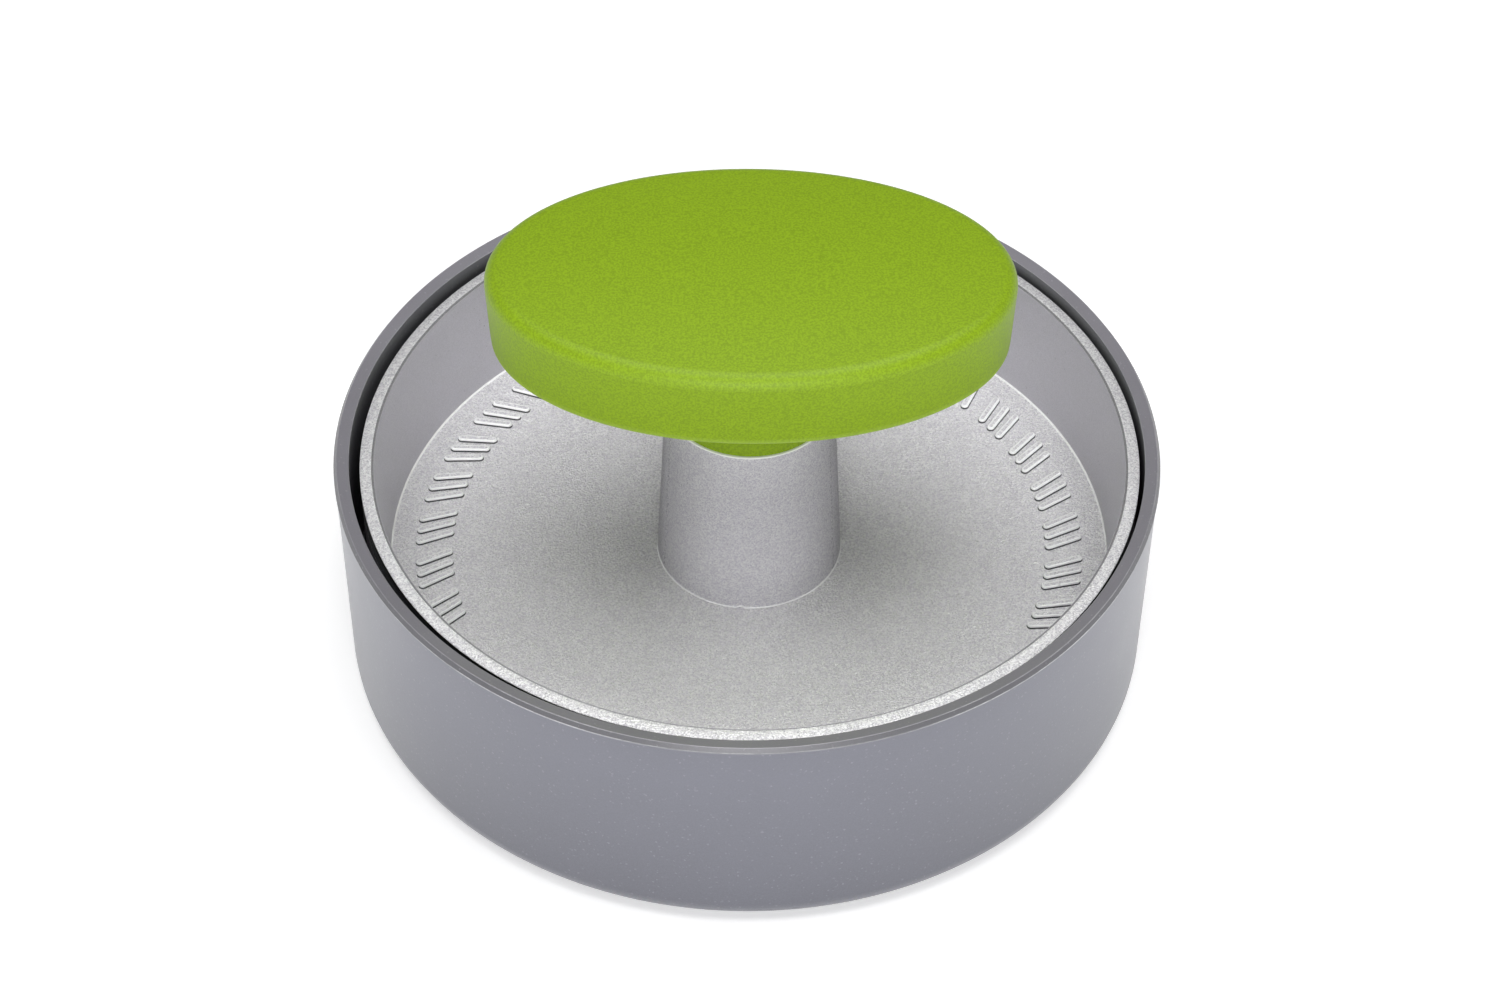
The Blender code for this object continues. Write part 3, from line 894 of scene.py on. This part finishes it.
def make_fixing_screw():
    """The long countersunk screw with a hexagon socket in its head."""
    low, high = box_mm("fixing_screw")
    centre = (low + high) / 2
    head_radius = (high.x - low.x) / 2
    neck = low.z + head_radius - FIXING_SHANK
    thread_start = neck + FIXING_PLAIN_LENGTH
    points = rounded([
        Corner(0.0, low.z),
        Corner(head_radius, low.z, 0.15),
        Corner(FIXING_SHANK, neck, 0.3),
        Corner(FIXING_SHANK, thread_start),
    ])
    points += rows(FIXING_SHANK, thread_start + FIXING_ROW, high.z - FIXING_TIP, FIXING_ROW)
    points += [Point(FIXING_SHANK - FIXING_TIP, high.z), Point(0.0, high.z)]
    threaded = thread(FIXING_PITCH, FIXING_THREAD_DEPTH, thread_start, high.z + FIXING_PITCH)
    bm = turned_mesh(points, centre, SMALL_STEPS, radius_at=threaded)
    piece = finished("fixing_screw_m6", bm, [STEEL], "press", ["fixing_screw"])
    hexagon = regular_outline(HEXAGON_RADIUS, 6)
    cut(piece, prism(hexagon, low.z - CUT_MARGIN, low.z + HEXAGON_DEPTH), centre)
    piece.data.set_sharp_from_angle(angle=SHARP_TURN)


def make_insert():
    """The knurled brass insert in the neck."""
    low, high = box_mm("threaded_insert")
    centre = (low + high) / 2
    radius = (high.x - low.x) / 2
    waist = radius - INSERT_WAIST
    chamfered = radius - INSERT_CHAMFER
    third = (high.z - low.z) / 3

    def knurled(r, z, angle):
        """Radius of the insert, with grooves along its two bands."""
        if r < radius - SAME_RADIUS:
            return r
        return r - KNURL_DEPTH * (0.5 + 0.5 * math.cos(KNURLS * angle))

    corners = [
        Corner(INSERT_BORE, low.z, 0.3),
        Corner(chamfered, low.z),
        Corner(radius, low.z + INSERT_CHAMFER),
        Corner(radius, low.z + third - INSERT_CHAMFER),
        Corner(waist, low.z + third + INSERT_SLOPE),
        Corner(waist, high.z - third - INSERT_SLOPE),
        Corner(radius, high.z - third + INSERT_CHAMFER),
        Corner(radius, high.z - INSERT_CHAMFER),
        Corner(chamfered, high.z),
        Corner(INSERT_BORE, high.z, 0.3),
    ]
    outline = rounded(corners, closed=True)
    bm = turned_mesh(outline, centre, KNURL_STEPS, closed=True, radius_at=knurled)
    piece = finished("threaded_insert_knurled", bm, [BRASS], "press", ["threaded_insert"])
    piece.data.set_sharp_from_angle(angle=SHARP_TURN)


def grip_axes():
    """Centre, half length, half width, foot and top of the grip."""
    low, high = box_mm("grip_cover")
    size = high - low
    return (low + high) / 2, size.x / 2, size.y / 2, low.z, high.z


def make_grip_cover():
    """The green shell: crowned top, rounded shoulder, tapered side and a fine lower edge."""
    centre, half_length, half_width, foot, top = grip_axes()
    rim_top = top - GRIP_RIM_DROP
    shoulder = rim_top - GRIP_TOP_FILLET
    ceiling = rim_top - COVER_WALL

    def oval(inset, z, wear=0.0):
        """A section drawn in from the widest outline of the grip."""
        return (half_length - inset, half_width - inset, z, wear)

    inner = GRIP_DRAFT + COVER_WALL
    sections = [
        (0.0, 0.0, ceiling, 0.0),
        oval(inner + GRIP_CEILING_FILLET, ceiling),
        oval(inner, ceiling - GRIP_CEILING_FILLET),
        oval(inner, foot + GRIP_INNER_CHAMFER),
        oval(inner - GRIP_INNER_CHAMFER, foot),
    ]
    # The lower edge fillet carries a painted highlight, lighter green along the edge.
    for step in range(GRIP_EDGE_STEPS + 1):
        share = step / GRIP_EDGE_STEPS
        turn = math.pi / 2 * share
        inset = GRIP_DRAFT + GRIP_EDGE_FILLET * (1 - math.sin(turn))
        z = foot + GRIP_EDGE_FILLET * (1 - math.cos(turn))
        sections.append(oval(inset, z, 1.0 - abs(share - GRIP_EDGE_HIGHLIGHT_PEAK)))
    sections.append(oval(GRIP_SIDE_INSET, foot + GRIP_SIDE_FOOT))
    for step in range(GRIP_SHOULDER_STEPS + 1):
        turn = GRIP_SHOULDER_END * step / GRIP_SHOULDER_STEPS
        inset = GRIP_TOP_FILLET * (1 - math.cos(turn))
        sections.append(oval(inset, shoulder + GRIP_TOP_FILLET * math.sin(turn)))
    crown_length = half_length - GRIP_TOP_FILLET
    crown_width = half_width - GRIP_TOP_FILLET
    for step in range(1, GRIP_CROWN_STEPS + 1):
        share = 1 - step / GRIP_CROWN_STEPS
        z = rim_top + GRIP_CROWN * (1 - share ** 2)
        sections.append((crown_length * share, crown_width * share, z, 0.0))
    piece = finished("grip_cover_shell", oval_mesh(sections, centre), [GREEN], "press",
                     ["grip_cover"])
    even_shading(piece)


def make_grip_base():
    """The neck that flares into the oval plate closing the grip, with two screw pockets."""
    centre, half_length, half_width, _, _ = grip_axes()
    low, high = box_mm("grip_base")
    stem_top = box_mm("stem")[1].z
    neck_foot = stem_top + JOINT_GAP
    underside = high.z - BASE_THICKNESS
    pocket_top = box_mm("threaded_insert")[1].z + INSERT_HEADROOM
    edge_inset = GRIP_DRAFT + COVER_WALL + PARTING_GAP
    edge = (half_length - edge_inset, half_width - edge_inset)
    chamfered = (edge[0] - BASE_CHAMFER, edge[1] - BASE_CHAMFER)
    profile = rounded([
        Corner(INSERT_POCKET, low.z, 0.2),
        Corner(NECK_SPIGOT_RADIUS, low.z, 0.3),
        Corner(NECK_SPIGOT_RADIUS, neck_foot, 0.2),
        Corner(NECK_RADIUS, neck_foot, 0.06),
        Corner(NECK_RADIUS, underside, NECK_FLARE),
        Corner(NECK_RADIUS + NECK_FLARE + NECK_FLARE_RUN, underside),
    ])
    sections = [(0.0, 0.0, pocket_top, 0.0), (INSERT_POCKET, INSERT_POCKET, pocket_top, 0.0)]
    sections += [(point.r, point.r, point.z, 0.0) for point in profile]
    sections += [
        (*chamfered, underside, 0.0),
        (*edge, underside + BASE_CHAMFER, 0.0),
        (*edge, high.z - BASE_CHAMFER, 0.0),
        (*chamfered, high.z, 0.0),
        (0.0, 0.0, high.z, 0.0),
    ]
    piece = finished("grip_base_neck", oval_mesh(sections, centre), [GREEN], "press",
                     ["grip_base"])
    head_pocket = (HEAD_POCKET_RADIUS, underside - CUT_MARGIN, underside + HEAD_POCKET_DEPTH)
    shank_hole = (SHANK_HOLE_RADIUS, underside, high.z + CUT_MARGIN)
    for node in GRIP_SCREW_NODES.values():
        screw_low, screw_high = box_mm(node)
        spot = (screw_low + screw_high) / 2
        for radius, bottom, upper in (head_pocket, shank_hole):
            cut(piece, prism(regular_outline(radius, POCKET_STEPS), bottom, upper), spot)
    piece.data.set_sharp_from_angle(angle=BASE_SHARP_TURN)
    even_shading(piece)
    piece.modifiers[0].keep_sharp = True


def cross_outline(arm, half):
    """Outline of a cross with four equal arms."""
    quarter = [(arm, -half), (arm, half), (half, half)]
    corners = []
    for _ in range(4):
        corners += quarter
        quarter = [(-y, x) for x, y in quarter]
    return corners


def make_grip_screws():
    """The two self-tapping screws with crossed slots."""
    for side, node in GRIP_SCREW_NODES.items():
        low, high = box_mm(node)
        centre = (low + high) / 2
        head_radius = (high.x - low.x) / 2
        head_top = low.z + GRIP_SCREW_HEAD
        thread_start = head_top + GRIP_SCREW_PLAIN_LENGTH
        points = rounded([
            Corner(0.0, low.z),
            Corner(head_radius, low.z, 0.35),
            Corner(head_radius, head_top, 0.12),
            Corner(GRIP_SCREW_SHANK, head_top, 0.15),
            Corner(GRIP_SCREW_SHANK, thread_start),
        ])
        points += rows(GRIP_SCREW_SHANK, thread_start + GRIP_SCREW_ROW, high.z - GRIP_SCREW_TIP,
                       GRIP_SCREW_ROW)
        points += [Point(GRIP_SCREW_POINT, high.z), Point(0.0, high.z)]
        threaded = thread(GRIP_SCREW_PITCH, GRIP_SCREW_THREAD_DEPTH, thread_start,
                          high.z + GRIP_SCREW_THREAD_PAST_TIP)
        bm = turned_mesh(points, centre, SMALL_STEPS, radius_at=threaded)
        piece = finished("grip_screw_" + side + "_threaded", bm, [STEEL], "press", [node])
        cross = cross_outline(CROSS_ARM, CROSS_HALF_WIDTH)
        cut(piece, prism(cross, low.z - CROSS_MARGIN, low.z + CROSS_DEPTH, CROSS_TAPER), centre)
        piece.data.set_sharp_from_angle(angle=SHARP_TURN)


# ---------------------------------------------------------------- studio

def make_floor():
    """A wide pale floor just under the cup."""
    mesh = bpy.data.meshes.new("studio_floor")
    half, z = FLOOR_HALF, -FLOOR_DROP
    corners = [(-half, -half, z), (half, -half, z), (half, half, z), (-half, half, z)]
    mesh.from_pydata(corners, [], [(0, 1, 2, 3)])
    floor = bpy.data.objects.new("studio_floor", mesh)
    bpy.context.scene.collection.objects.link(floor)
    g = Graph("floor_white", FLOOR_ROUGHNESS)
    colour = g.blend(g.noise(FLOOR_CLOUD_SIZE), *FLOOR_COLOURS)
    g.set(base_color=colour, emission_color=(1.0, 1.0, 1.0), emission_strength=FLOOR_GLOW)
    mesh.materials.append(g.material)


def make_world():
    """White walls all round, fading to a darker ceiling."""
    world = bpy.data.worlds.new("studio")
    world.use_nodes = True
    tree = world.node_tree
    background = tree.nodes["Background"]
    background.inputs["Color"].default_value = (1.0, 1.0, 1.0, 1.0)
    place = tree.nodes.new("ShaderNodeTexCoord")
    upright = tree.nodes.new("ShaderNodeSeparateXYZ")
    fade = tree.nodes.new("ShaderNodeMapRange")
    fade.interpolation_type = "SMOOTHSTEP"
    fade.inputs["From Max"].default_value = math.sin(WALL_TOP)
    fade.inputs["To Min"].default_value = WALL_LIGHT
    fade.inputs["To Max"].default_value = CEILING_LIGHT
    tree.links.new(place.outputs["Generated"], upright.inputs["Vector"])
    tree.links.new(upright.outputs["Z"], fade.inputs["Value"])
    tree.links.new(fade.outputs["Result"], background.inputs["Strength"])
    bpy.context.scene.world = world


def make_softbox(box):
    """A soft rectangular light aimed at the object."""
    light = bpy.data.lights.new(box.name, "AREA")
    light.shape = "RECTANGLE"
    light.size, light.size_y = box.size
    light.energy = box.power
    lamp = bpy.data.objects.new(box.name, light)
    a, e = math.radians(box.azimuth), math.radians(box.elevation)
    direction = Vector((math.sin(a) * math.cos(e), -math.cos(a) * math.cos(e), math.sin(e)))
    lamp.location = direction * box.distance
    lamp.rotation_mode = "QUATERNION"
    lamp.rotation_quaternion = direction.to_track_quat("Z", "Y")
    bpy.context.scene.collection.objects.link(lamp)


def make_camera():
    """The camera of the main view, a little to the right and rolled a little."""
    low, high = cad_box
    aim = (low + high) / 2
    aim.x += AIM_SIDEWAYS * MM
    aim.z = high.z * AIM_SHARE_OF_HEIGHT
    camera = bpy.data.objects.new("camera", bpy.data.cameras.new("camera"))
    camera.data.lens = LENS
    camera.data.sensor_width = SENSOR_WIDTH
    camera.data.clip_start = CLIP_START
    turn = Matrix.Rotation(math.pi / 2 - VIEW_ELEVATION, 4, "X") @ Matrix.Rotation(VIEW_ROLL, 4, "Z")
    back = Vector((0, -math.cos(VIEW_ELEVATION), math.sin(VIEW_ELEVATION)))
    camera.matrix_world = Matrix.Translation(aim + back * VIEW_DISTANCE) @ turn
    bpy.context.scene.collection.objects.link(camera)
    bpy.context.scene.camera = camera


make_camera()
make_cup()
make_plate()
make_stem()
make_seal()
make_fixing_screw()
make_insert()
make_grip_base()
make_grip_cover()
make_grip_screws()
make_floor()
make_world()
for softbox in SOFTBOXES:
    make_softbox(softbox)
bpy.context.scene.view_settings.view_transform = "Standard"
